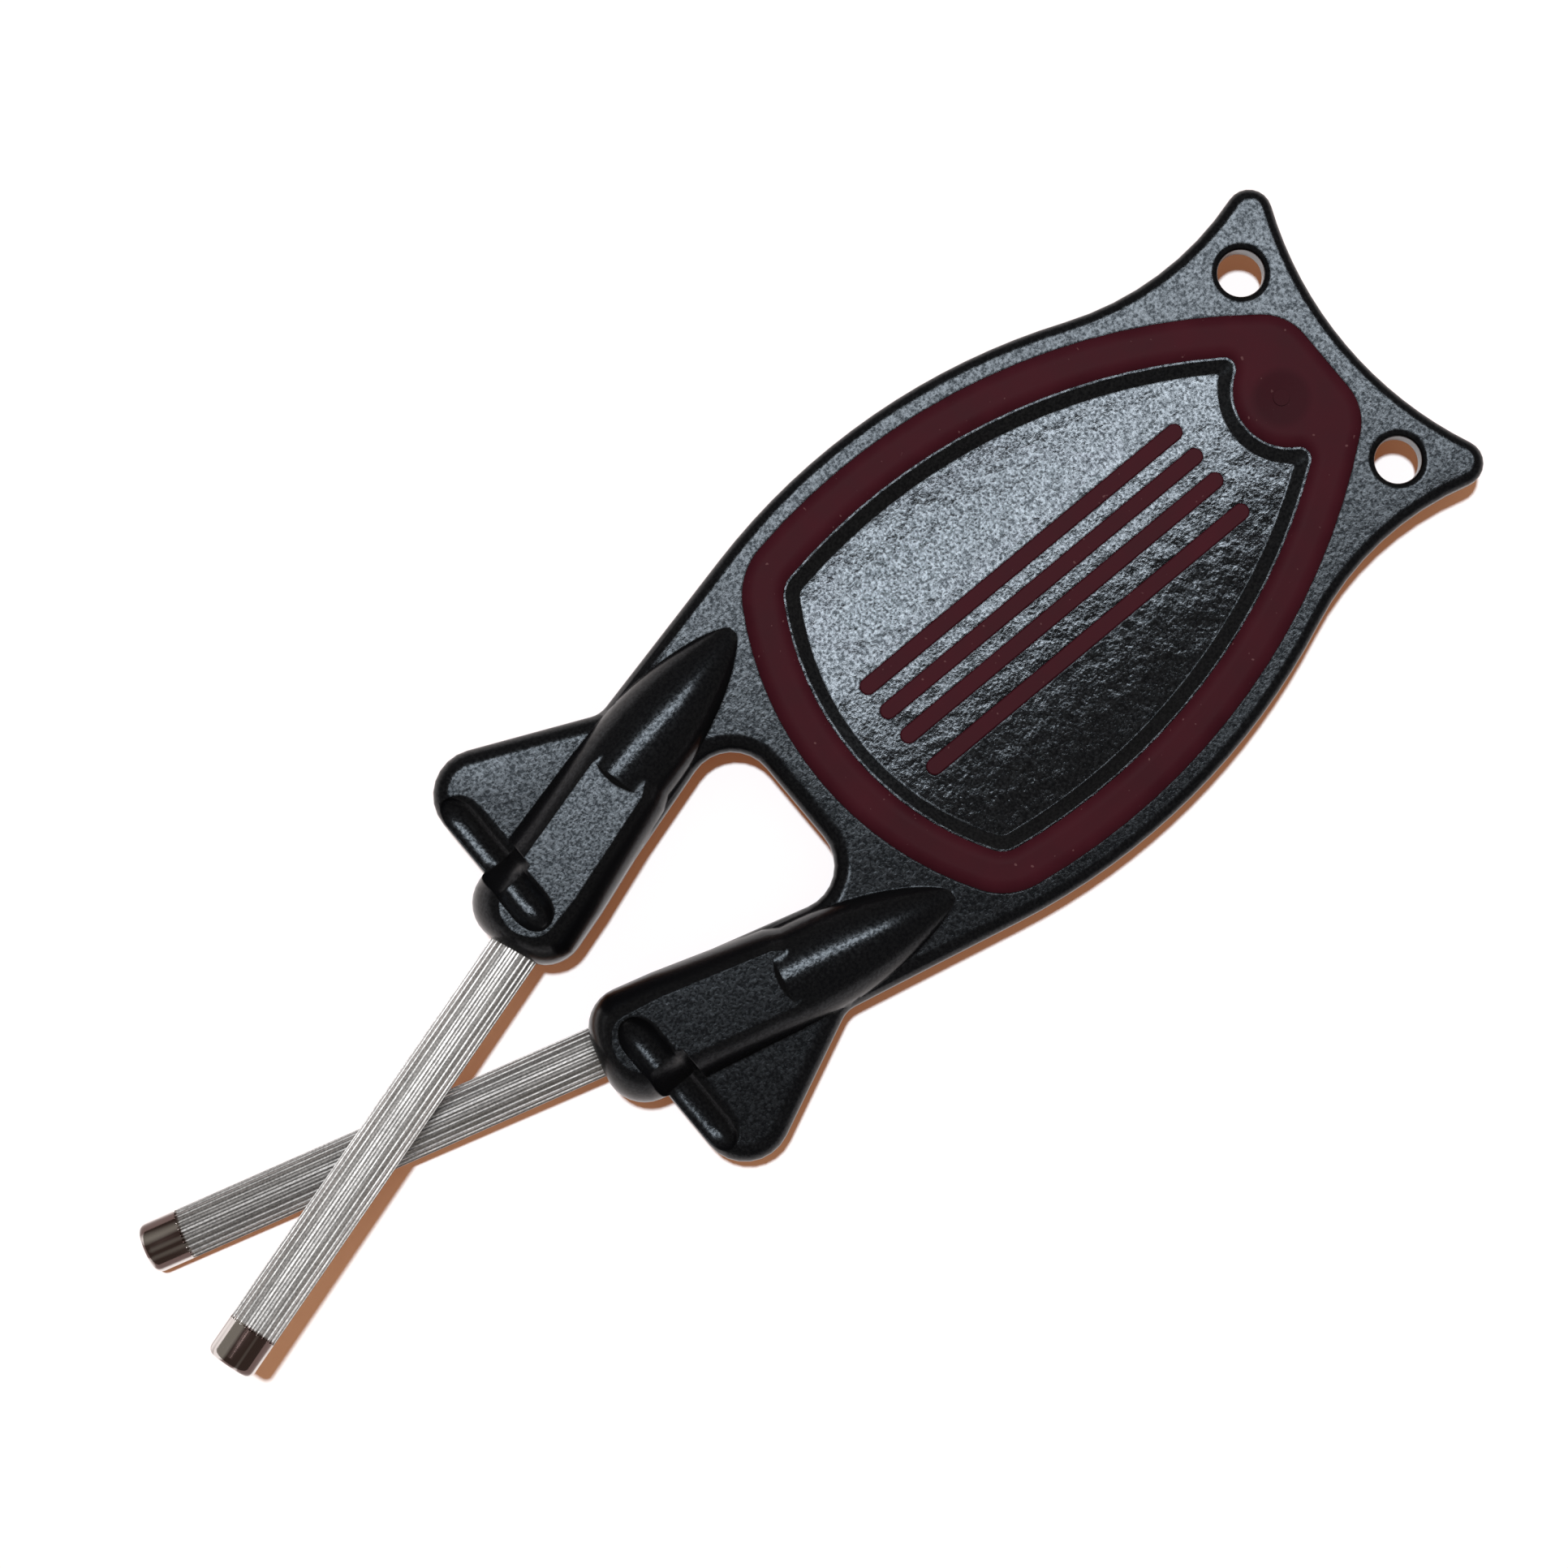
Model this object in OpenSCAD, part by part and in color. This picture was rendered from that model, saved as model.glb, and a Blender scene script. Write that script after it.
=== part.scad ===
// Hand-held knife sharpener: two crossed fluted steel rods in a moulded handle.
// Front face up (+Z), tail towards +Y, all lengths in millimetres.
// Heights along Y are measured from the bar that separates grip and finger gap.

/* [Handle plate] */
// Thickness of the handle plate
plate_t = 5; // [4.6:0.1:7]
// Radius of the two long flanks
flank_r = 86; // [82:0.5:90]
// Half of the greatest width
body_half_w = 31; // [30:0.05:33]
// Height of the widest line
widest_y = 27.5; // [25:0.5:30]
// Angle of the straight flanks that run down to the waist
waist_deg = 12.6; // [11:0.1:15]
// Depth of the waist below the datum line
waist_depth = 14.5; // [13:0.1:16]
// Fillet radius in the waist
waist_fillet_r = 3.5; // [2.5:0.1:5]
// Edge rounding round grip and tail
edge_r = 1.5; // [0.8:0.1:2]
// Edge rounding round finger gap, legs and wings
leg_edge_r = 2.2; // [1:0.1:2.25]

/* [Tail] */
// Distance from the ring's flat top edge to the lowest point of the curved tail edge
tail_gap = 3.4; // [3:0.1:6]
// How far each tail tip's centre stands out from the body level with the lobe
tail_flare = 4.4; // [3.6:0.1:5.6]
// Rise of each tip's centre above the dip
tail_tip_rise = 1.35; // [0.5:0.05:3]
// Radius of each tail tip
tail_tip_r = 2.9; // [2.6:0.1:4]
// Radius of the hollow curve between tail tip and flank
tail_side_r = 38; // [34:0.5:46]
// Diameter of each lanyard hole
hole_d = 5.8; // [4:0.1:6.4]
// Distance of each lanyard hole inward from its tail tip's centre
hole_in = 5.2; // [4.6:0.1:6]
// Height of the lanyard holes below the dip
hole_drop = 4.4; // [3.8:0.1:6]
// Rounding of the rims of the lanyard holes
hole_rim_r = 0.9; // [0.3:0.1:1.2]

/* [Legs and wings] */
// Depth of the top of the finger gap below the datum line
gap_depth = 3; // [2.5:0.1:4.5]
// Corner radius of the finger gap
gap_corner_r = 5.5; // [3:0.1:6]
// Distance from a rod's axis to the inner edge of its leg
leg_in = 5.9; // [5.4:0.1:6.4]
// Corner radius of the plate inside the boss
leg_corner_r = 4; // [2.5:0.1:5]
// Angle of the outer edge of each wing
wing_deg = 24.5; // [20:0.1:27]
// Depth of the wings' front edge below the datum line
wing_depth = 38; // [36.5:0.1:38.6]
// Radius of each wing tip
wing_tip_r = 5.7; // [4:0.1:6.5]

/* [Rod bosses] */
// Depth of each boss's mouth below the datum line
mouth_depth = 41.4; // [41:0.1:44]
// Radius of the boss near its mouth
boss_r = 7.35; // [7:0.05:8]
// Radius of the boss where its nose begins
boss_rear_r = 6.7; // [6.5:0.05:7]
// Distance from the mouth to the start of the taper
boss_straight = 10; // [6:0.5:14]
// Distance from the mouth to the start of the nose
boss_nose_start = 24.6; // [23:0.1:28]
// Rounding of the edge round the mouth
boss_front_r = 5; // [3:0.1:5.5]
// How far the boss stands outward of its rod's axis
boss_shift = 1.1; // [0.8:0.1:1.6]
// Half distance between the centres of front and back halves
boss_split = 1; // [0.5:0.1:1.4]
// Distance from each half's centre to its flat, level with the start of the nose
boss_flat = 5.6; // [5.4:0.05:5.9]
// Slope of the flat, which falls away from the mouth
boss_flat_deg = 2.3; // [0:0.1:3]
// Radius of the nose at its thick end
nose_start_r = 6.35; // [6:0.05:6.4]
// Distance from the mouth to the point of the nose
boss_len = 50.8; // [48:0.1:54]
// How far the thick end of the nose stands outward of the rod's axis
nose_shift = 1.4; // [0.8:0.1:1.4]
// Angle by which the nose turns inward
nose_turn = 3.5; // [0:0.1:5]
// Fullness of the nose, as the power in its outline
nose_power = 2.5; // [1.8:0.1:2.8]
// Length of the sloping step from the flat up to the nose
nose_step = 1.5; // [0.5:0.1:2.5]

/* [Wing scoops] */
// Distance from the wing's sharp corner inward to the outer end of each scoop
scoop_end_gap = 6.7; // [6:0.1:10]
// Side distance of the inner end of each scoop
scoop_in_x = 7.3; // [7:0.1:9]
// Radius of the trough of each scoop
scoop_r = 2.4; // [1.6:0.1:2.5]
// Distance from the trough's line to the edge of its rounded rim
scoop_reach = 3.3; // [2.8:0.1:3.5]
// Depth of the scoops' line below the datum line
scoop_depth = 36.2; // [35.8:0.1:36.4]
// How deep each scoop is cut into the wing
scoop_wing_cut = 1.8; // [1:0.1:1.9]
// How deep each scoop is cut into the boss
scoop_boss_cut = 2; // [1:0.1:2]

/* [Rods] */
// Diameter of each sharpening rod
rod_d = 6.35; // [6:0.05:6.5]
// Angle of each rod to the long axis
rod_splay = 16; // [15:0.1:17]
// Depth of the crossing below the datum line
cross_depth = 69.2; // [68:0.1:71]
// Gap between the rods where they cross
rod_gap = 0.15; // [0.05:0.05:0.4]
// Depth at which both rods' axes meet the mid plane
level_depth = 12; // [6:0.5:16]
// Length of each rod outside its boss
rod_out = 60.8; // [45:0.1:80]
// Length of each rod inside its boss
rod_in = 28.1; // [20:0.1:31]
// Length of the plain end of each rod
rod_plain = 5; // [3:0.1:10]
// Edge rounding of each rod's free end
rod_end_r = 1; // [0.4:0.1:1.6]
// Number of flutes round a rod
flutes = 24; // [12:2:28]
// Radius of a flute
flute_r = 0.3; // [0.2:0.01:0.34]
// How far each flute's centre stands outside the rod's surface
flute_out = 0.06; // [0.02:0.01:0.12]
// Clearance round a rod in its boss
rod_clear = 0.02; // [0.01:0.01:0.05]

/* [Grip ring] */
// Width of the margin from the flank to the ring
ring_margin = 3.05; // [2.5:0.05:3.6]
// Width of the ring
ring_w = 5.1; // [4.5:0.1:5.6]
// Distance from the lobe's centre to the ring's flat top edge
ring_top_gap = 5.9; // [5.2:0.1:6.8]
// Height of the ring's lower edge
ring_bottom_y = 1; // [0.5:0.1:2]
// Radius of the ring's lower curve
ring_bottom_r = 43; // [40:0.5:48]
// Outer radius of the ring's lower corners
ring_corner_r = 8.8; // [7.8:0.1:9.6]
// Outer radius of the ring's upper corners
ring_top_r = 6.8; // [5.5:0.1:7.4]
// Radius of the lobe
lobe_r = 7; // [6.4:0.1:7.4]
// Angle round the lobe, downward from level, at which it would meet the ring's sides
lobe_cusp_deg = 12; // [8:0.5:18]
// Radius of the ring's inner corners beside the lobe
horn_r = 1.5; // [1:0.1:2]
// Radius of the panel's own corners there
horn_foot_r = 0.3; // [0.1:0.05:0.5]
// How far the ring's crest stands above the plate
ring_proud = 0.7; // [0.4:0.05:1]
// Width of the slope from the ring's edge to its crest
ring_round = 1.7; // [1.2:0.1:2.3]
// Angle on its arc at which that slope starts
ring_foot_deg = 25; // [15:1:50]
// Depth of the ring's groove in the plate
groove_depth = 1.2; // [0.8:0.1:1.4]
// Gap between the rubber and the plate
bond_gap = 0.02; // [0.01:0.01:0.05]
// Diameter of the posts that join front and back ring
post_d = 3; // [2:0.1:3.6]
// Distance of the gate mark below the lobe's centre
gate_drop = 1.4; // [0.5:0.1:2.5]
// Diameter of the gate dimple on the lobe
gate_d = 7; // [4:0.1:7.4]
// Depth of the gate dimple
gate_depth = 0.2; // [0.1:0.05:0.4]
// Diameter of the gate nub
gate_nub_d = 2; // [1:0.1:3]

/* [Panel] */
// Width of the plate's lip between ring and panel
panel_lip = 0.25; // [0.2:0.05:0.6]
// Width of the sloping wall round the panel
panel_wall = 1.9; // [1:0.1:2.2]
// How far the wall's foot reaches below the panel's surface
panel_sink = 0.1; // [0.05:0.01:0.2]
// Depth of the panel below the plate at its crest
panel_depth = 0.6; // [0.4:0.05:0.8]
// Radius of the panel's crown
panel_crown_r = 200; // [180:5:400]

/* [Inlay bars] */
// Side distances of the inlay bars
bar_x = [-5.2, -1.3, 2.6, 7.6];
// Width of an inlay bar
bar_w = 2.1; // [1.2:0.1:2.8]
// Height of the bars' lower ends
bar_bottom_y = 13; // [12:0.5:20]
// Clear distance from the bars' upper ends to the panel's wall
bar_top_gap = 5; // [4:0.5:9]
// Depth of a bar below the panel's crest
bar_sink = 0.8; // [0.5:0.05:1]
// How far a bar stands above the panel
bar_proud = 0.22; // [0.05:0.01:0.4]
// Bevel round the top of a bar
bar_bevel = 0.15; // [0.05:0.01:0.3]

/* [Hidden] */
$fn = 72;
// Overrun of every cut past the face that it opens
over = 1;
// Points on the arcs of the outlines
arc_n = 8;
long_n = 16;
edge_n = 4;
scoop_n = 28;
// How far the rounded edge reaches into the plate's core
edge_keel = 0.6;

half_t = plate_t / 2;
flank_c = [body_half_w - flank_r, widest_y];
rod_r = rod_d / 2;
inner_w = ring_margin + ring_w;
// Arc of radius r round the flank's centre: its height at half width x, its half width at height y
function flank_y(r, x) = flank_c[1] + sqrt(pow(r, 2) - pow(x - flank_c[0], 2));
function flank_x(r, y) = flank_c[0] + sqrt(pow(r, 2) - pow(y - flank_c[1], 2));
lobe_y = flank_y(flank_r - inner_w, lobe_r * cos(lobe_cusp_deg)) + lobe_r * sin(lobe_cusp_deg);
ring_top_y = lobe_y + ring_top_gap;
tail_dip_y = ring_top_y + tail_gap;
tail_tip_x = flank_x(flank_r, lobe_y) + tail_flare;
hole_x = tail_tip_x - hole_in;

// Vector helpers
function unit(v) = v / norm(v);
function polar(c, r, a) = c + r * [cos(a), sin(a)];
function heading(v) = atan2(v[1], v[0]);
function clamp01(t) = min(1, max(0, t));
function smooth(t) = clamp01(t) * clamp01(t) * (3 - 2 * clamp01(t));
// Where two circles meet, on the left of the way from the first to the second
function meet(c0, r0, c1, r1) =
    let (d = norm(c1 - c0), a = (d * d + r0 * r0 - r1 * r1) / (2 * d))
    let (h = sqrt(r0 * r0 - a * a), u = (c1 - c0) / d)
    c0 + a * u + h * [-u[1], u[0]];

// An outline is a list of [point, outward normal, edge rounding], clockwise.
// An arc leaves out its first point, where the arc before it ends
function arc(c, r, a0, a1, n, side, e, first = 1) =
    [for (i = [first:n]) let (a = a0 + (a1 - a0) * i / n) [polar(c, r, a), side * [cos(a), sin(a)], e]];
// A fillet of radius r at corner v on the way from a to b
function fillet(a, v, b, r, n, e) =
    let (u = unit(v - a), w = unit(b - v), turn = sign(u[0] * w[1] - u[1] * w[0]))
    let (deg = acos(u * w), start = v - u * r * tan(deg / 2))
    let (c = start + turn * r * [-u[1], u[0]], a0 = heading(start - c))
    arc(c, r, a0, a0 + turn * deg, n, -turn, e, 0);
function flip(p) = [[-p[0][0], p[0][1]], [-p[1][0], p[1][1]], p[2]];
// The full outline from its right half, which starts and ends on the axis
function both(half) = concat(half, [for (i = [len(half) - 2:-1:1]) flip(half[i])]);
function inset(p, d) = p[0] - p[1] * d;
function at_z(p, z) = [p[0], p[1], z];

// Outline of the handle plate
tail_r = (pow(tail_tip_x, 2) + pow(tail_tip_rise, 2) - pow(tail_tip_r, 2))
    / (2 * (tail_tip_r + tail_tip_rise));
tail_c = [0, tail_dip_y + tail_r];
tip_c = [tail_tip_x, tail_dip_y + tail_tip_rise];
side_c = meet(tip_c, tail_tip_r + tail_side_r, flank_c, flank_r + tail_side_r);
flank_end = polar(flank_c, flank_r, -waist_deg);
waist = [flank_end[0] - (flank_end[1] + waist_depth) * tan(waist_deg), -waist_depth];
wing_tip = [waist[0] + (wing_depth - waist_depth) * tan(wing_deg), -wing_depth];
// Side distance of a rod's axis at height y, and of its leg's inner edge
function rod_x(y) = (y + cross_depth) * tan(rod_splay);
function leg_x(y) = rod_x(y) - leg_in / cos(rod_splay);
leg_front = [leg_x(-wing_depth), -wing_depth];
gap_corner = [leg_x(-gap_depth), -gap_depth];
gap_top = [0, -gap_depth];
function edge_at(y) = edge_r + (leg_edge_r - edge_r) * smooth((widest_y - y) / (widest_y + waist_depth));
flank_points = arc(flank_c, flank_r, heading(side_c - flank_c), -waist_deg, long_n, 1, edge_r);
plate_half = concat(
    arc(tail_c, tail_r, -90, heading(tip_c - tail_c), arc_n, -1, edge_r, 0),
    arc(tip_c, tail_tip_r, heading(tail_c - tip_c), heading(side_c - tip_c), arc_n, 1, edge_r),
    arc(side_c, tail_side_r, heading(tip_c - side_c), heading(flank_c - side_c) + 360, arc_n, -1, edge_r),
    [for (p = flank_points) [p[0], p[1], edge_at(p[0][1])]],
    fillet(flank_end, waist, wing_tip, waist_fillet_r, arc_n / 2, leg_edge_r),
    fillet(waist, wing_tip, leg_front, wing_tip_r, arc_n, leg_edge_r),
    fillet(wing_tip, leg_front, gap_corner, leg_corner_r, arc_n / 2, leg_edge_r),
    fillet(leg_front, gap_corner, gap_top, gap_corner_r, arc_n, leg_edge_r),
    [[gap_top, [0, -1], leg_edge_r]]
);

// Outlines of the ring and the panel, each moved outward by d
lower_c = [0, ring_bottom_y + ring_bottom_r];
function corner_c(rf, rb, rc) = meet(lower_c, rb - rc, flank_c, rf - rc);
function right_side(rf, rb, rc, top_deg) =
    let (c = corner_c(rf, rb, rc))
    concat(
        arc(flank_c, rf, top_deg, heading(c - flank_c), long_n, 1, 0),
        arc(c, rc, heading(c - flank_c), heading(c - lower_c), arc_n, 1, 0),
        arc(lower_c, rb, heading(c - lower_c), -90, arc_n, 1, 0)
    );
function ring_outer(d) =
    let (rf = flank_r - ring_margin + d, rt = ring_top_r + d, top = ring_top_y + d)
    let (cy = top - rt, cx = flank_x(rf - rt, cy))
    let (c = [cx, cy], a = heading(c - flank_c))
    both(concat(
        [for (i = [0:arc_n - 1]) [[cx * i / arc_n, top], [0, 1], 0]],
        arc(c, rt, 90, a, arc_n, 1, 0, 0),
        right_side(rf, ring_bottom_r + d, ring_corner_r + d, a)
    ));
function ring_inner(d) =
    let (rf = flank_r - inner_w + d, rl = lobe_r - d, rh = max(horn_foot_r, horn_r + d))
    let (lobe_c = [0, lobe_y], c = meet(lobe_c, rl + rh, flank_c, rf - rh))
    both(concat(
        arc(lobe_c, rl, -90, heading(c - lobe_c), arc_n, -1, 0, 0),
        arc(c, rh, heading(lobe_c - c), heading(c - flank_c), arc_n, 1, 0),
        right_side(rf, ring_bottom_r - ring_w + d, ring_corner_r - ring_w + d, heading(c - flank_c))
    ));

// Side faces between m rings of n points, and around to the first ring again if it closes
function skin(n, m, closes) =
    [for (j = [0:m - (closes ? 1 : 2)]) for (i = [0:n - 1]) let (k = (i + 1) % n, l = (j + 1) % m)
        [j * n + k, j * n + i, l * n + i, l * n + k]];

// Solid between rings of points, from the upper ring down to the lower one.
// Each end is a fan of triangles round its own centre
module loft(rings, top_centre, bottom_centre) {
    n = len(rings[0]);
    m = len(rings);
    polyhedron(
        points = concat([for (r = rings) each r], [top_centre, bottom_centre]),
        faces = concat(
            skin(n, m, false),
            [for (i = [0:n - 1]) [i, (i + 1) % n, m * n]],
            [for (i = [0:n - 1]) [(m - 1) * n + (i + 1) % n, (m - 1) * n + i, m * n + 1]]
        ),
        convexity = 6
    );
}

// Solid whose rings of points close on themselves round its section
module ring_loft(rings) {
    polyhedron(
        points = [for (r = rings) each r],
        faces = skin(len(rings[0]), len(rings), true),
        convexity = 6
    );
}

module front_and_back() {
    children();
    mirror([0, 0, 1]) children();
}

module left_and_right() {
    children();
    mirror([1, 0, 0]) children();
}

// Frame of the right leg: origin at the mouth on the rod's axis, +Y up the leg, +X outward
module leg_frame() {
    translate([rod_x(-mouth_depth), -mouth_depth, 0]) rotate([0, 0, -rod_splay]) children();
}

// Rods rise from the mid plane inside the boss to clear each other at the crossing
cross_z = rod_r + rod_gap / 2;
rod_tilt = atan(cross_z * cos(rod_splay) / (cross_depth - level_depth));
mouth_z = cross_z * (mouth_depth - level_depth) / (cross_depth - level_depth);
// Frame of the right rod, which lies below; +Z runs up into the boss
module rod_frame() {
    leg_frame() translate([0, 0, -mouth_z]) rotate([rod_tilt - 90, 0, 0]) children();
}

// Edge rounding as [share of radius inward, share of radius down]
round_shares = [for (k = [0:edge_n]) [1 - sin(90 * k / edge_n), 1 - cos(90 * k / edge_n)]];

// Flat core of the plate, up to where its edge rounding starts
module plate_core() {
    linear_extrude(plate_t, center = true) polygon([for (p = both(plate_half)) inset(p, p[2])]);
}

// Rounded edge of the plate, with a keel that reaches into the core
module plate_edge() {
    outline = both(plate_half);
    upper = [for (s = round_shares) [for (p = outline) at_z(inset(p, p[2] * s[0]), half_t - p[2] * s[1])]];
    lower = [for (k = [edge_n:-1:0]) [for (p = upper[k]) [p[0], p[1], -p[2]]]];
    keel = [for (p = outline) at_z(inset(p, p[2] + edge_keel), 0)];
    ring_loft(concat(upper, lower, [keel]));
}

// Half section of a boss: rounded mouth, straight barrel and taper
boss_section = concat(
    [[0, 0]],
    [for (k = [0:arc_n]) let (a = 90 * k / arc_n)
        [boss_r - boss_front_r * (1 - sin(a)), boss_front_r * (1 - cos(a))]],
    [[boss_r, boss_straight], [boss_rear_r, boss_nose_start], [0, boss_len]]
);
// Half section of a nose: sloping step, then a full curve that runs out to a point
nose_len = boss_len - boss_nose_start;
function nose_r(s) = nose_start_r * (1 - pow(s / nose_len, nose_power));
nose_section = concat(
    [[0, -nose_step], [nose_start_r - nose_step, -nose_step]],
    [for (i = [0:long_n - 1]) let (s = nose_len * i / long_n) [nose_r(s), s]],
    [[0, nose_len]]
);

// Front half of the right boss with its flat and its nose, in the leg's frame
module boss_half() {
    wide = 2 * (boss_r + over);
    difference() {
        translate([boss_shift, 0, boss_split]) rotate([-90, 0, 0]) rotate_extrude() polygon(boss_section);
        translate([boss_shift, boss_nose_start, boss_split + boss_flat]) rotate([-boss_flat_deg, 0, 0])
            translate([-wide / 2, -2 * boss_nose_start, 0]) cube([wide, 3 * boss_nose_start, wide]);
    }
    translate([nose_shift, boss_nose_start, boss_split]) rotate([-90, 0, nose_turn])
        rotate_extrude() polygon(nose_section);
}

// Section of a scoop of depth d as [towards the tail, height over the surface]:
// a convex rim, then the trough. Both arcs are tangent where they meet
function scoop_section(d) =
    let (q = (pow(scoop_reach, 2) + pow(d, 2)) / (2 * d), rim_r = q - scoop_r, a = asin((q - d) / q))
    concat(
        [for (k = [0:arc_n / 2]) polar([scoop_reach, -rim_r], rim_r, 90 + (90 - a) * 2 * k / arc_n)],
        [for (k = [1:arc_n]) polar([0, scoop_r - d], scoop_r, -a - (180 - a) * k / arc_n)]
    );
// Trough across the front of wing and boss, as deep under the boss's flat as under the wing
module scoop() {
    scoop_out_x = wing_tip[0] - scoop_end_gap;
    mid_x = (scoop_out_x + scoop_in_x) / 2;
    half_len = (scoop_out_x - scoop_in_x) / 2;
    boss_x = rod_x(-scoop_depth) + boss_shift / cos(rod_splay);
    flat_z = boss_split + boss_flat + (boss_nose_start - mouth_depth + scoop_depth) * tan(boss_flat_deg);
    sections = [for (i = [0:scoop_n])
        let (x = mid_x + half_len * cos(180 * (i + 0.5) / (scoop_n + 1)))
        let (end = clamp01((half_len - abs(x - mid_x)) / scoop_reach))
        let (share = sqrt(1 - pow(1 - end, 2)))
        let (rise = smooth((boss_x + boss_r - x) / (boss_r / 2)))
        let (surface = half_t + (flat_z - half_t) * rise)
        let (cut = scoop_section(scoop_wing_cut + (scoop_boss_cut - scoop_wing_cut) * rise))
        concat(
            [[x, share * cut[0][0] - scoop_depth, flat_z + over]],
            [for (p = cut) [x, share * p[0] - scoop_depth, surface + share * p[1]]],
            [[x, share * cut[len(cut) - 1][0] - scoop_depth, flat_z + over]]
        )];
    ends = [for (i = [0, scoop_n]) let (p = sections[i][1]) [p[0], -scoop_depth, p[2] + over / 2]];
    loft(sections, ends[0], ends[1]);
}

// Ring-shaped groove for the rubber, cut from the front face down
module ring_cut(gap, z0, z1) {
    translate([0, 0, z0]) linear_extrude(z1 - z0) difference() {
        polygon([for (p = ring_outer(gap)) p[0]]);
        polygon([for (p = ring_inner(-gap)) p[0]]);
    }
}

post_flank_shares = [0.12, 0.62];
ring_mid_r = flank_r - ring_margin - ring_w / 2;
post_places = concat(
    [[0, lobe_y], [0, ring_bottom_y + ring_w / 2]],
    [for (s = post_flank_shares)
        let (y = ring_bottom_y + ring_corner_r + s * (lobe_y - ring_bottom_y - ring_corner_r))
        for (side = [-1, 1]) [side * flank_x(ring_mid_r, y), y]]
);

module posts(d) {
    for (p = post_places) translate([p[0], p[1], -half_t]) cylinder(d = d, h = plate_t);
}

// Height of the crowned panel at side distance x
function crown_z(x) = half_t - panel_depth - panel_crown_r + sqrt(pow(panel_crown_r, 2) - pow(x, 2));

// Crowned panel surface, as a cylinder along Y
module crown() {
    translate([0, -cross_depth, half_t - panel_depth - panel_crown_r])
        rotate([-90, 0, 0]) cylinder(r = panel_crown_r, h = cross_depth + 2 * tail_dip_y, $fn = 1440);
}

module panel_cut() {
    rim = ring_inner(-panel_lip);
    foot = ring_inner(-panel_lip - panel_wall);
    difference() {
        loft([
            [for (p = rim) at_z(p[0], half_t + over)],
            [for (p = rim) at_z(p[0], half_t)],
            [for (p = foot) at_z(p[0], crown_z(p[0][0]) - panel_sink)],
            [for (p = foot) at_z(p[0], 0)]
        ], [0, widest_y, half_t + over], [0, widest_y, 0]);
        crown();
    }
}

// Upper end of a bar, where the panel's wall narrows towards the lobe
panel_r = flank_r - inner_w - panel_lip - panel_wall;
function bar_top(x) = flank_y(panel_r, abs(x) + bar_w / 2) - bar_top_gap;
function bar_end(x) = min(bar_top(x), lobe_y - lobe_r - panel_lip - panel_wall - bar_top_gap);

// Pill-shaped prism on a bar's line, of half width r and height h, with a bevelled rim
module pill(x, r, h, bevel) {
    y0 = bar_bottom_y;
    y1 = bar_end(x);
    side = [[r, 0], [r, h - bevel], [r - bevel, h]];
    for (y = [y0, y1]) translate([x, y, 0]) rotate_extrude() polygon(concat([[0, 0]], side, [[0, h]]));
    translate([x, y1, 0]) rotate([90, 0, 0]) linear_extrude(y1 - y0)
        polygon(concat(side, [for (i = [2:-1:0]) [-side[i][0], side[i][1]]]));
}
bar_floor = half_t - panel_depth - bar_sink;

module bar_wells() {
    for (x = bar_x) translate([0, 0, bar_floor - bond_gap])
        pill(x, bar_w / 2 + bond_gap, plate_t, bar_bevel);
}

module lanyard_hole() {
    r = hole_d / 2;
    translate([hole_x, tail_dip_y - hole_drop, 0]) {
        cylinder(r = r, h = plate_t + 2 * over, center = true);
        front_and_back() rotate_extrude() polygon(concat(
            [[0, half_t - hole_rim_r]],
            [for (k = [0:edge_n]) let (a = 90 * k / edge_n)
                [r + hole_rim_r * (1 - cos(a)), half_t - hole_rim_r * (1 - sin(a))]],
            [[r + hole_rim_r, half_t + over], [0, half_t + over]]
        ));
    }
}

module rod_bore() {
    rod_frame() translate([0, 0, -over]) cylinder(r = rod_r + rod_clear, h = rod_in + rod_clear + over);
}

// The core with everything that is cut into it
module cut_core() {
    difference() {
        plate_core();
        front_and_back() ring_cut(bond_gap, half_t - groove_depth - bond_gap, half_t + over);
        front_and_back() panel_cut();
        posts(post_d + 2 * bond_gap);
        bar_wells();
        left_and_right() lanyard_hole();
    }
}

module frame_solid() {
    difference() {
        union() {
            cut_core();
            plate_edge();
            left_and_right() leg_frame() front_and_back() boss_half();
        }
        left_and_right() front_and_back() scoop();
        rod_bore();
        mirror([1, 0, 0]) mirror([0, 0, 1]) rod_bore();
    }
}

// Slope from the ring's edge to its crest, as [distance from the edge, height]
ring_floor = half_t - groove_depth;
ring_slope = [for (k = [0:edge_n]) let (a = ring_foot_deg + (90 - ring_foot_deg) * k / edge_n)
    [ring_round * (1 - cos(a) / cos(ring_foot_deg)),
     half_t + ring_proud * (sin(a) - sin(ring_foot_deg)) / (1 - sin(ring_foot_deg))]];

module front_ring() {
    outer = [for (p = ring_outer(0)) at_z(p[0], ring_floor)];
    inner = [for (p = ring_inner(0)) at_z(p[0], ring_floor)];
    ring_loft(concat(
        [outer, inner],
        [for (s = ring_slope) [for (p = ring_inner(s[0])) at_z(p[0], s[1])]],
        [for (k = [edge_n:-1:0]) [for (p = ring_outer(-ring_slope[k][0])) at_z(p[0], ring_slope[k][1])]]
    ));
}

module gate_mark() {
    crest = half_t + ring_proud;
    translate([0, lobe_y - gate_drop, 0]) difference() {
        translate([0, 0, crest - gate_depth]) cylinder(d1 = gate_nub_d, d2 = gate_d, h = gate_depth);
        translate([0, 0, crest - 2 * gate_depth]) cylinder(d = gate_nub_d, h = 2 * gate_depth);
        translate([0, 0, crest]) cylinder(d = gate_nub_d, h = over);
    }
}

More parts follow.
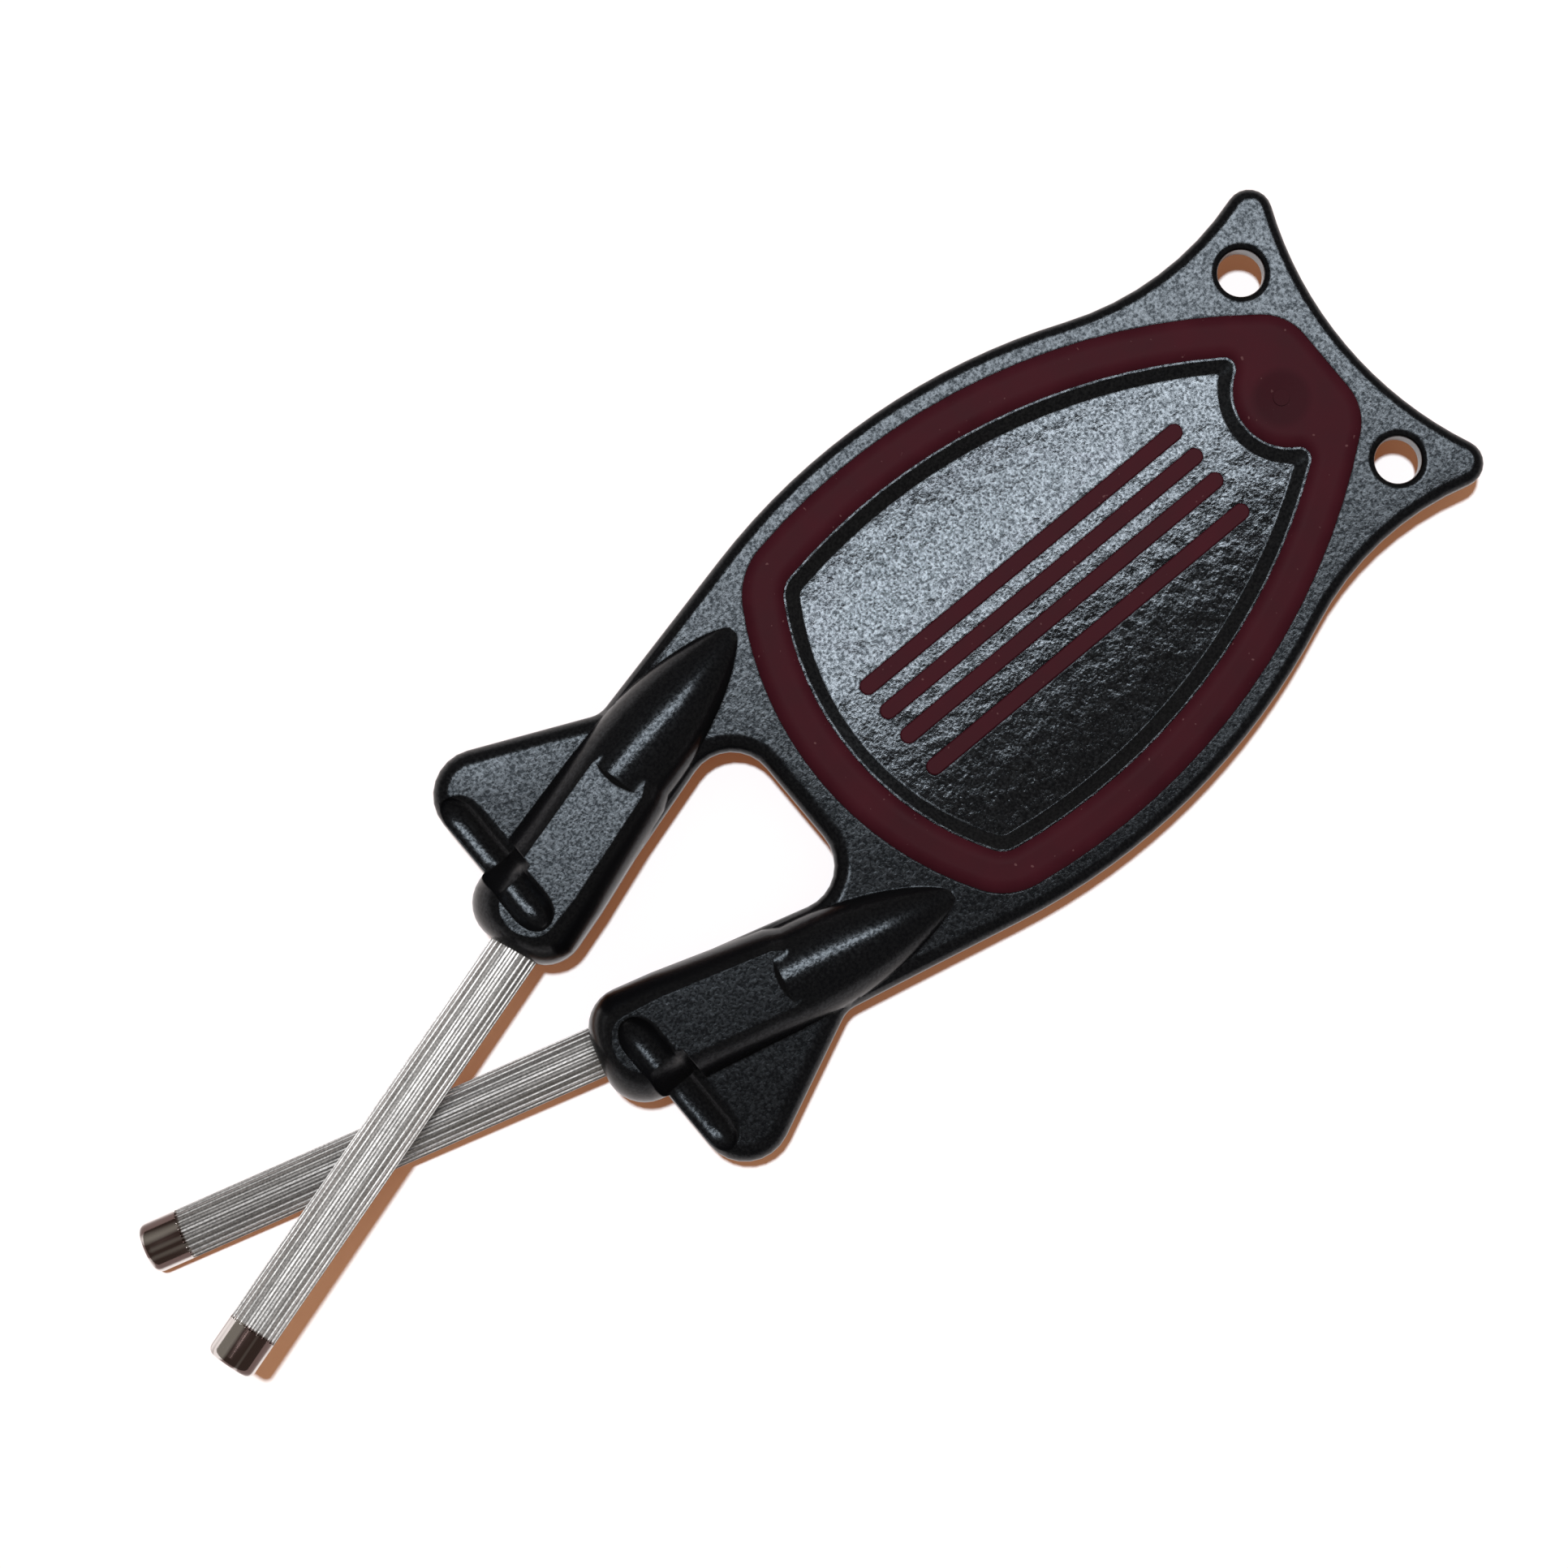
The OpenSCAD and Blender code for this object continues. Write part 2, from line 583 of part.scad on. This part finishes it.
module grip_solid() {
    difference() {
        union() {
            front_and_back() front_ring();
            intersection() {
                posts(post_d);
                cube([4 * body_half_w, 4 * tail_dip_y, 2 * ring_floor + groove_depth], center = true);
            }
        }
        gate_mark();
    }
}

// Each bar stands a little above the panel and has a bevelled rim
module bars_solid() {
    for (x = bar_x) translate([0, 0, bar_floor])
        pill(x, bar_w / 2, crown_z(x) + bar_proud - bar_floor, bar_bevel);
}

// Free end at the bottom, plain inside the boss, flutes between
module rod_solid() {
    flute_len = rod_out - rod_plain;
    difference() {
        translate([0, 0, -rod_out]) rotate_extrude() polygon(concat(
            [[0, 0]],
            [for (k = [0:edge_n]) let (a = 90 * k / edge_n)
                [rod_r - rod_end_r * (1 - sin(a)), rod_end_r * (1 - cos(a))]],
            [[rod_r, rod_out + rod_in], [0, rod_out + rod_in]]
        ));
        for (i = [0:flutes - 1]) rotate([0, 0, 360 * i / flutes])
            translate([rod_r + flute_out, 0, -flute_len])
                cylinder(r = flute_r, h = flute_len + over, $fn = 16);
    }
}

// The origin is under the middle of the part, level with its lowest point
rod_dir = [-sin(rod_splay) * cos(rod_tilt), -cos(rod_splay) * cos(rod_tilt), -sin(rod_tilt)];
rod_end = [rod_x(-mouth_depth), -mouth_depth, -mouth_z] + rod_out * rod_dir;
function reach(along) = rod_end_r * (1 - along) + (rod_r - rod_end_r) * sqrt(1 - along * along);
low_z = rod_end[2] - reach(-rod_dir[2]);
low_y = rod_end[1] - reach(-rod_dir[1]);
high_y = tip_c[1] + tail_tip_r;
module stand() {
    translate([0, -(low_y + high_y) / 2, -low_z]) children();
}

module handle_frame() {
    color("#17181b") stand() frame_solid();
}
module grip_ring() {
    color("#4a1d22") stand() grip_solid();
}
module inlay_bars() {
    color("#4a1d22") stand() bars_solid();
}
module upper_rod() {
    color("#b9babb") stand() mirror([1, 0, 0]) mirror([0, 0, 1]) rod_frame() rod_solid();
}
module lower_rod() {
    color("#b9babb") stand() rod_frame() rod_solid();
}

handle_frame();
grip_ring();
inlay_bars();
upper_rod();
lower_rod();
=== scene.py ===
"""Looks of the crossed-rod knife sharpener: black nylon, maroon rubber and fluted steel on a pale floor."""
import math

import bmesh
import bpy
from mathutils import Matrix, Vector


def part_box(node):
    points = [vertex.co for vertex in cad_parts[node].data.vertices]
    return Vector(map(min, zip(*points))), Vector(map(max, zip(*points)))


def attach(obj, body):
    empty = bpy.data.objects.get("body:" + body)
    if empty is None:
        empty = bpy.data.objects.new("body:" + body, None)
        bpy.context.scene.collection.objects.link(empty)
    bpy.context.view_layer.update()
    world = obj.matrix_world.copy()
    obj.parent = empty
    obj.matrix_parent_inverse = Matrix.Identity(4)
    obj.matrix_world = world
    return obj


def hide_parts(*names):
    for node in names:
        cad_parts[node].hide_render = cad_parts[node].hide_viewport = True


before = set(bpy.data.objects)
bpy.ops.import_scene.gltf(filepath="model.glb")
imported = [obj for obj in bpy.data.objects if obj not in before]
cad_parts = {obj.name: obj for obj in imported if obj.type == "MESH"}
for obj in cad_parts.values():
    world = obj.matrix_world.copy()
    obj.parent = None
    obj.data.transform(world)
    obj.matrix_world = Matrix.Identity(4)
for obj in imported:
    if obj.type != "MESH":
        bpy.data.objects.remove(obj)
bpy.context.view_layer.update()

MM = 0.001

# Camera: it looks down on the front face and leans a little towards the bottom of the picture
VIEW_CENTRE = Vector((-2.66, 2.74, 8.0)) * MM
VIEW_WIDTH = 193.2 * MM
VIEW_DISTANCE = 600 * MM
VIEW_LEAN_DEG = 3.0
PICTURE_RIGHT = Vector((0.6394, 0.7688, 0.0))
PICTURE_UP = Vector((-0.7688, 0.6394, 0.0))
SENSOR_WIDTH_MM = 36.0
CLIP_NEAR = 0.01
CLIP_FAR = 10.0

# A wide softbox lights the object. It hangs parallel to the floor, over the upper part of the picture,
# and flat faces mirror its near edge about the middle, so that they dim towards the lower right.
SOFTBOX_TOWARDS = Vector((-0.296, 0.955))
SOFTBOX_HEIGHT = 600 * MM
SOFTBOX_NEAR = 58 * MM
SOFTBOX_DEPTH = 150 * MM
SOFTBOX_WIDTH = 460 * MM
SOFTBOX_SHIFT = 80 * MM
SOFTBOX_WATTS = 4.3

# A dim warm sky fills the shadows
SKY_COLOUR = (1.0, 0.88, 0.76, 1)
SKY_STRENGTH = 0.24
WHITE = (1, 1, 1, 1)

# A sun lights the floor alone, for a short crisp shadow to the lower right. It is as much too blue
# as the floor is too warm, so that the lit floor is white and the shadow brown.
SUN_FROM = (-0.062, 0.11)
SUN_ANGLE_DEG = 3.0
SUN_STRENGTH = 2.5
SUN_COLOUR = (0.9, 1.45, 2.3)

# The floor: its colour and glow as it is seen, and the plain colour of the light that it gives back
FLOOR_SEEN = (1.14, 0.78, 0.52, 1)
FLOOR_GLOW = (0.10, 0.018, 0.003, 1)
FLOOR_PLAIN = (0.6, 0.6, 0.6, 1)
FLOOR_HALF = 3.0

# Geometry of the rods, as the model has them
ROD_R = 3.175 * MM
ROD_SPLAY_DEG = 16.0
ROD_TILT_DEG = 3.126
TIP_LENGTH = 5.0 * MM
FLUTES_FROM = TIP_LENGTH - 0.1 * MM
FLUTES_FULL = TIP_LENGTH + 0.25 * MM

# Mark left by the mould's gate, a darker disc on the ring's lobe with a soft edge
GATE_MARK = (0.0, 80.15 * MM, 11.2 * MM)
GATE_MARK_R = 3.5 * MM
GATE_BLUR = 0.5 * MM
GATE_SHARE = 0.4

# The recessed panel, bounded by the middle of the ring: two flank arcs and two level lines
PANEL_ARC_R = 80.0 * MM
PANEL_ARC_IN = 55.0 * MM
PANEL_WIDEST = 32.8 * MM
PANEL_LOW = 8.9 * MM
PANEL_HIGH = 80.0 * MM

# Meshes: how near points are welded, how level faces are joined, which edges stay sharp, how steep a face
# may be to count as the panel's floor, how far large faces lead the shading, and the rounding of edges
WELD_GAP = 0.001 * MM
FLAT_DEG = 0.05
SMOOTH_EDGE_DEG = 28.0
FOLD_DEG = 8.0
AREA_WEIGHT = 80
EDGE_SOFTNESS = 0.28 * MM
BEVEL_SAMPLES = 4

# Noises, each with its scale per metre, its detail and where needed its roughness
GRAIN = (2600.0, 3.0, 0.6)
COARSE = (900.0, 2.0)
WAVES = (420.0, 2.0)
CLOUD = (60.0, 3.0)
MOTTLE = (140.0, 4.0, 0.6)
SKIN = (3000.0, 2.0)
SPECKS = (1400.0, 1.0)
LINES = (3400.0, 3.0, 0.65)
FLECKS = (3600.0, 1.0)
PATCHES = (160.0, 3.0)
TIP_REFLECTION_BANDS = (540.0, 1.0)

# Ranges of a noise over which a look changes; most of a noise lies in the first
MOST = (0.3, 0.7)
SPARKLE_RANGE = (0.52, 0.72)
GLINT_RANGE = (0.38, 0.64)
SPECK_RANGE = (0.75, 0.79)
FLECK_RANGE = (0.35, 0.65)
TIP_REFLECTION_RANGE = (0.43, 0.57)

# Nylon: a face is smooth up to the first share of level, and has the full spark texture from the second
TEXTURED_FROM = (0.955, 0.99)
NYLON_DARK = (0.003, 0.003, 0.0035, 1)
NYLON_LIGHT = (0.007, 0.0075, 0.009, 1)
GLINT_LOW = (0.20, 0.24, 0.28, 1)
GLINT_HIGH = (1.0, 1.14, 1.28, 1)
NYLON_IOR = 1.5
ROUNDED_ROUGHER = 0.07
ROUNDED_GRAIN = 0.10
NYLON_ROUGH_DRIFT = (-0.03, 0.03)
COARSE_SHARE = 0.8
NYLON_RELIEF = 0.08 * MM

# Rubber
MAROON_DARK = (0.030, 0.0048, 0.0082, 1)
MAROON_LIGHT = (0.040, 0.0066, 0.0108, 1)
MAROON_GATE = (0.014, 0.002, 0.004, 1)
SPECK_COLOUR = (0.24, 0.13, 0.13, 1)
SPECK_SHARE = 0.25
RUBBER_ROUGH = (0.48, 0.58)
RUBBER_LEVEL = 0.03
RUBBER_GRAIN = 0.2
RUBBER_RELIEF = 0.05 * MM

# Steel: lines and flecks vary the tone of the flutes, and dark and light bands along the polished tip are a
# painted reflection of the room
LINE_DRAW = 0.97
LINE_SHARE = 0.45
FLECK_SHARE = 0.55
# Colours of the painted reflection bands on the polished tip
TIP_REFLECTION_DARK = (0.12, 0.085, 0.08, 1)
TIP_REFLECTION_LIGHT = (0.66, 0.65, 0.64, 1)
TIP_ROUGH = 0.1
FLUTE_ROUGH = 0.5
STEEL_ROUGH_DRIFT = (-0.04, 0.06)
TIP_GRAIN = 0.12
FLUTE_GRAIN = 0.5
STEEL_RELIEF = 0.04 * MM


def place_by_picture(right, up, height):
    """A point given by its offsets along the picture's axes and its height."""
    point = VIEW_CENTRE + PICTURE_RIGHT * right + PICTURE_UP * up
    point.z = height
    return point


def add_camera():
    data = bpy.data.cameras.new("camera")
    data.sensor_width = SENSOR_WIDTH_MM
    data.lens = data.sensor_width * VIEW_DISTANCE / VIEW_WIDTH
    data.clip_start = CLIP_NEAR
    data.clip_end = CLIP_FAR
    camera = bpy.data.objects.new("camera", data)
    bpy.context.scene.collection.objects.link(camera)
    lean = math.radians(VIEW_LEAN_DEG)
    back = Vector((0, 0, 1)) * math.cos(lean) - PICTURE_UP * math.sin(lean)
    up = back.cross(PICTURE_RIGHT)
    turn = Matrix((PICTURE_RIGHT, up, back)).transposed().to_4x4()
    camera.matrix_world = Matrix.Translation(VIEW_CENTRE + back * VIEW_DISTANCE) @ turn
    bpy.context.scene.camera = camera


def add_lamp(name, kind, place, floor, floor_state, **settings):
    """A lamp at a place, which lights the floor alone (INCLUDE) or all but the floor (EXCLUDE)."""
    data = bpy.data.lights.new(name, kind)
    for key, value in settings.items():
        setattr(data, key, value)
    lamp = bpy.data.objects.new(name, data)
    bpy.context.scene.collection.objects.link(lamp)
    lamp.location = place
    lit = bpy.data.collections.new(name + "_receivers")
    lit.objects.link(floor)
    lit.collection_objects[0].light_linking.link_state = floor_state
    lamp.light_linking.receiver_collection = lit
    return lamp


def add_softbox(floor):
    towards = SOFTBOX_TOWARDS
    sideways = Vector((towards.y, -towards.x))
    middle = towards * (SOFTBOX_NEAR + SOFTBOX_DEPTH / 2) + sideways * SOFTBOX_SHIFT
    place = place_by_picture(middle.x, middle.y, SOFTBOX_HEIGHT)
    softbox = add_lamp("softbox", "AREA", place, floor, "EXCLUDE", shape="RECTANGLE",
                       size=SOFTBOX_WIDTH, size_y=SOFTBOX_DEPTH, energy=SOFTBOX_WATTS)
    heading = PICTURE_RIGHT * towards.x + PICTURE_UP * towards.y
    softbox.rotation_euler = (0, 0, math.atan2(heading.y, heading.x) - math.pi / 2)


def add_sun(floor):
    source = PICTURE_RIGHT * SUN_FROM[0] + PICTURE_UP * SUN_FROM[1] + Vector((0, 0, 1))
    sun = add_lamp("sun", "SUN", source, floor, "INCLUDE", energy=SUN_STRENGTH,
                   color=SUN_COLOUR, angle=math.radians(SUN_ANGLE_DEG))
    sun.rotation_euler = source.to_track_quat("Z", "Y").to_euler()


class Nodes:
    """A short way to build a node tree."""

    def __init__(self, tree):
        self.tree = tree
        self.tree.nodes.clear()

    def set(self, node, key, value):
        """Give an input, by its name or number, a link from an output or else a plain value."""
        if isinstance(value, bpy.types.NodeSocket):
            self.tree.links.new(value, node.inputs[key])
        else:
            node.inputs[key].default_value = value

    def add(self, kind, settings=None, **inputs):
        """A node with settings and with inputs by name, where _ stands for a space."""
        node = self.tree.nodes.new(kind)
        for key, value in (settings or {}).items():
            setattr(node, key, value)
        for key, value in inputs.items():
            self.set(node, key.replace("_", " "), value)
        return node

    def row(self, kind, settings, *values):
        """A node whose inputs are given in their order."""
        node = self.add(kind, settings)
        for number, value in enumerate(values):
            self.set(node, number, value)
        return node

    def math(self, operation, *values):
        return self.row("ShaderNodeMath", {"operation": operation}, *values).outputs[0]

    def vector(self, operation, a, b):
        """A vector operation, or for these two operations its number."""
        output = "Value" if operation in ("DISTANCE", "DOT_PRODUCT") else "Vector"
        return self.row("ShaderNodeVectorMath", {"operation": operation}, a, b).outputs[output]

    def mix(self, factor, a, b):
        """A mix of colours: its inputs are numbers 0, 6 and 7 and its result is output 2."""
        node = self.add("ShaderNodeMix", {"data_type": "RGBA"})
        for number, value in ((0, factor), (6, a), (7, b)):
            self.set(node, number, value)
        return node.outputs[2]

    def ramp(self, value, low, high, to_low=0.0, to_high=1.0):
        return self.row("ShaderNodeMapRange", {}, value, low, high, to_low, to_high).outputs[0]

    def noise(self, vector, scale, detail, roughness=0.5):
        node = self.add("ShaderNodeTexNoise", Vector=vector, Scale=scale, Detail=detail, Roughness=roughness)
        return node.outputs["Fac"]

    def bump(self, strength, distance, height, **inputs):
        node = self.add("ShaderNodeBump", Strength=strength, Distance=distance, Height=height, **inputs)
        return node.outputs[0]

    def object_place(self):
        return self.add("ShaderNodeTexCoord").outputs["Object"]

    def finish(self, shader, output="ShaderNodeOutputMaterial"):
        self.tree.links.new(shader.outputs[0], self.add(output).inputs["Surface"])


def new_material(name):
    material = bpy.data.materials.new(name)
    material.use_nodes = True
    return material, Nodes(material.node_tree)


def nylon_material(name, level, flat_rough, grain_share, waviness):
    """Black glass-filled nylon: spark texture on the flat faces, smooth satin on rounded ones."""
    material, n = new_material(name)
    place = n.object_place()
    true_normal = n.add("ShaderNodeNewGeometry").outputs["True Normal"]
    normal = n.add("ShaderNodeSeparateXYZ", Vector=true_normal)
    textured = n.ramp(n.math("ABSOLUTE", normal.outputs["Z"]), *TEXTURED_FROM)
    grain = n.noise(place, *GRAIN)
    sparkle = n.math("MULTIPLY", n.ramp(grain, *SPARKLE_RANGE), textured)
    colour = n.mix(sparkle, NYLON_DARK, NYLON_LIGHT)
    base_rough = n.ramp(textured, 0.0, 1.0, flat_rough + ROUNDED_ROUGHER, flat_rough)
    rough = n.math("ADD", base_rough, n.ramp(n.noise(place, *CLOUD), *MOST, *NYLON_ROUGH_DRIFT))
    coarse = n.math("MULTIPLY", n.noise(place, *COARSE), COARSE_SHARE)
    waves = n.math("MULTIPLY", n.noise(place, *WAVES), waviness)
    height = n.math("ADD", n.math("ADD", grain, coarse), waves)
    soft_edges = n.add("ShaderNodeBevel", {"samples": BEVEL_SAMPLES}, Radius=EDGE_SOFTNESS).outputs[0]
    strength = n.ramp(textured, 0.0, 1.0, ROUNDED_GRAIN, grain_share)
    glint = n.mix(n.ramp(grain, *GLINT_RANGE), GLINT_LOW, GLINT_HIGH)
    bump = n.bump(strength, NYLON_RELIEF, height, Normal=soft_edges)
    n.finish(n.add("ShaderNodeBsdfPrincipled", Base_Color=colour, Roughness=rough, Normal=bump,
                   IOR=NYLON_IOR, Specular_IOR_Level=level, Specular_Tint=glint))
    return material


def rubber_material(name):
    """Satin thermoplastic rubber: faint mottling, a fine skin, a few specks and the gate's mark."""
    material, n = new_material(name)
    place = n.object_place()
    cloud = n.noise(place, *MOTTLE)
    specks = n.math("MULTIPLY", n.ramp(n.noise(place, *SPECKS), *SPECK_RANGE), SPECK_SHARE)
    colour = n.mix(n.ramp(cloud, *MOST), MAROON_DARK, MAROON_LIGHT)
    colour = n.mix(specks, colour, SPECK_COLOUR)
    from_gate = n.vector("DISTANCE", place, GATE_MARK)
    in_gate = n.ramp(from_gate, GATE_MARK_R + GATE_BLUR, GATE_MARK_R - GATE_BLUR, 0.0, GATE_SHARE)
    colour = n.mix(in_gate, colour, MAROON_GATE)
    rough = n.ramp(cloud, *MOST, *RUBBER_ROUGH)
    bump = n.bump(RUBBER_GRAIN, RUBBER_RELIEF, n.noise(place, *SKIN))
    n.finish(n.add("ShaderNodeBsdfPrincipled", Base_Color=colour, Roughness=rough, Normal=bump,
                   Specular_IOR_Level=RUBBER_LEVEL))
    return material


def rod_end(side):
    """Free end of a rod's axis and the way that it points: side 1 is the upper rod, -1 the lower one."""
    low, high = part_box("upper_rod" if side > 0 else "lower_rod")
    tilt = math.radians(ROD_TILT_DEG)
    splay = math.radians(ROD_SPLAY_DEG)
    direction = Vector((side * math.sin(splay) * math.cos(tilt),
                        -math.cos(splay) * math.cos(tilt),
                        side * math.sin(tilt)))
    middle = (low + high) / 2
    half = (high.y - low.y) / 2 - ROD_R * math.sin(splay)
    return middle + direction * (half / abs(direction.y)), direction


def steel_material(name, side, dark, light):
    """Drawn steel with fine lengthwise lines, and a polished tip with painted dark and light reflection
    bands.
    """
    material, n = new_material(name)
    tip, direction = rod_end(side)
    place = n.object_place()
    offset = n.vector("SUBTRACT", place, tuple(tip))
    distance = n.vector("DOT_PRODUCT", offset, tuple(-direction))
    fluted = n.ramp(distance, FLUTES_FROM, FLUTES_FULL)
    # Lines, and the tip's painted reflection bands, run along the rod: their noise is drawn out about
    # thirtyfold along the axis
    along = n.add("ShaderNodeVectorMath", {"operation": "SCALE"}, Vector=tuple(-direction),
                  Scale=n.math("MULTIPLY", distance, LINE_DRAW)).outputs["Vector"]
    drawn_out = n.vector("SUBTRACT", offset, along)
    lines = n.noise(drawn_out, *LINES)
    line_shade = n.ramp(lines, *MOST, 0.0, LINE_SHARE)
    fleck_shade = n.ramp(n.noise(place, *FLECKS), *FLECK_RANGE, 0.0, FLECK_SHARE)
    shade = n.math("ADD", line_shade, fleck_shade)
    colour = n.mix(shade, (dark, dark, dark, 1), (light, light, light, 1))
    # Painted reflection: dark and light bands on the polished tip stand in for the room that it mirrors
    reflection_bands = n.ramp(n.noise(drawn_out, *TIP_REFLECTION_BANDS), *TIP_REFLECTION_RANGE)
    colour = n.mix(fluted, n.mix(reflection_bands, TIP_REFLECTION_DARK, TIP_REFLECTION_LIGHT), colour)
    patches = n.ramp(n.noise(place, *PATCHES), *MOST, *STEEL_ROUGH_DRIFT)
    rough = n.math("ADD", n.ramp(fluted, 0.0, 1.0, TIP_ROUGH, FLUTE_ROUGH), patches)
    bump = n.bump(n.ramp(fluted, 0.0, 1.0, TIP_GRAIN, FLUTE_GRAIN), STEEL_RELIEF, lines)
    n.finish(n.add("ShaderNodeBsdfPrincipled", Base_Color=colour, Roughness=rough, Normal=bump, Metallic=1.0))
    return material


def floor_material():
    """White with a warm shadow to camera and reflections, and plain grey for the light that it gives back."""
    material, n = new_material("floor")
    path = n.add("ShaderNodeLightPath")
    seen = n.math("MAXIMUM", path.outputs["Is Camera Ray"], path.outputs["Is Glossy Ray"])
    seen = n.math("MAXIMUM", seen, path.outputs["Is Transmission Ray"])
    plain = n.add("ShaderNodeBsdfDiffuse", Color=FLOOR_PLAIN)
    warm = n.add("ShaderNodeBsdfDiffuse", Color=FLOOR_SEEN)
    glow = n.add("ShaderNodeEmission", Color=FLOOR_GLOW, Strength=1.0)
    bright = n.row("ShaderNodeAddShader", {}, warm.outputs[0], glow.outputs[0])
    n.finish(n.row("ShaderNodeMixShader", {}, seen, plain.outputs[0], bright.outputs[0]))
    return material


def add_sky():
    """A dim sky that the camera sees as white."""
    world = bpy.data.worlds.new("studio")
    world.use_nodes = True
    n = Nodes(world.node_tree)
    path = n.add("ShaderNodeLightPath")
    light = n.add("ShaderNodeBackground", Color=SKY_COLOUR, Strength=SKY_STRENGTH)
    white = n.add("ShaderNodeBackground", Color=WHITE, Strength=1.0)
    seen = path.outputs["Is Camera Ray"]
    shader = n.row("ShaderNodeMixShader", {}, seen, light.outputs[0], white.outputs[0])
    n.finish(shader, "ShaderNodeOutputWorld")
    bpy.context.scene.world = world


def add_floor():
    """A wide square floor, which belongs to the stage and not to the object."""
    mesh = bpy.data.meshes.new("floor")
    half = FLOOR_HALF
    corners = [(-half, -half, 0), (half, -half, 0), (half, half, 0), (-half, half, 0)]
    mesh.from_pydata(corners, [], [(0, 1, 2, 3)])
    floor = bpy.data.objects.new("floor", mesh)
    bpy.context.scene.collection.objects.link(floor)
    floor.data.materials.append(floor_material())
    return floor


def in_panel(point):
    """Whether a point lies over or under the recessed panel."""
    reach = math.hypot(abs(point.x) + PANEL_ARC_IN, point.y - PANEL_WIDEST)
    return reach < PANEL_ARC_R and PANEL_LOW < point.y < PANEL_HIGH


def finish_panel(mesh):
    """Give the recessed panel on each face the second material, and a crisp fold round its floor."""
    built = bmesh.new()
    built.from_mesh(mesh)
    level = math.cos(math.radians(FOLD_DEG))
    panel = {face for face in built.faces if all(in_panel(vert.co) for vert in face.verts)}
    panel_floor = {face for face in panel if abs(face.normal.z) > level}
    for face in panel:
        face.material_index = 1
    for edge in built.edges:
        if len([face for face in edge.link_faces if face in panel_floor]) == 1:
            edge.smooth = False
    built.to_mesh(mesh)
    built.free()


def welded(mesh):
    """A copy of a mesh with its double points welded and its flat faces joined."""
    mesh = mesh.copy()
    built = bmesh.new()
    built.from_mesh(mesh)
    bmesh.ops.remove_doubles(built, verts=built.verts, dist=WELD_GAP)
    bmesh.ops.dissolve_limit(built, angle_limit=math.radians(FLAT_DEG), verts=built.verts, edges=built.edges)
    built.to_mesh(mesh)
    built.free()
    return mesh


def dress(node, name, slot, *materials):
    """Replace a CAD node by a welded copy with smooth rounded edges and its own materials."""
    mesh = welded(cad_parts[node].data)
    if "custom_normal" in mesh.attributes:
        mesh.attributes.remove(mesh.attributes["custom_normal"])
    mesh.shade_smooth()
    mesh.set_sharp_from_angle(angle=math.radians(SMOOTH_EDGE_DEG))
    mesh.materials.clear()
    for material in materials:
        mesh.materials.append(material)
    if len(materials) > 1:
        finish_panel(mesh)
    piece = bpy.data.objects.new(name, mesh)
    bpy.context.scene.collection.objects.link(piece)
    weights = piece.modifiers.new("even shading", "WEIGHTED_NORMAL")
    weights.keep_sharp = True
    weights.weight = AREA_WEIGHT
    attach(piece, "root")
    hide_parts(node)


bpy.context.scene.view_settings.view_transform = "Standard"
add_camera()
add_sky()
stage_floor = add_floor()
add_softbox(stage_floor)
add_sun(stage_floor)

black_nylon = nylon_material("black_nylon", level=0.225, flat_rough=0.17, grain_share=0.25, waviness=0.0)
panel_nylon = nylon_material("panel_nylon", level=0.42, flat_rough=0.12, grain_share=0.45, waviness=4.0)
dress("handle_frame", "moulded_handle", "black_nylon", black_nylon, panel_nylon)
dress("grip_ring", "rubber_ring", "maroon_rubber", rubber_material("maroon_rubber"))
dress("inlay_bars", "rubber_bars", "maroon_inlay", rubber_material("maroon_inlay"))
steel_upper = steel_material("steel_upper", side=1, dark=0.26, light=0.64)
dress("upper_rod", "fluted_rod_upper", "fluted_steel", steel_upper)
# Painted shade: the lower rod is the same steel as the upper one, given darker colours because it catches
# less light
shaded_steel_lower = steel_material("shaded_steel_lower", side=-1, dark=0.175, light=0.44)
dress("lower_rod", "fluted_rod_lower", "fluted_steel", shaded_steel_lower)
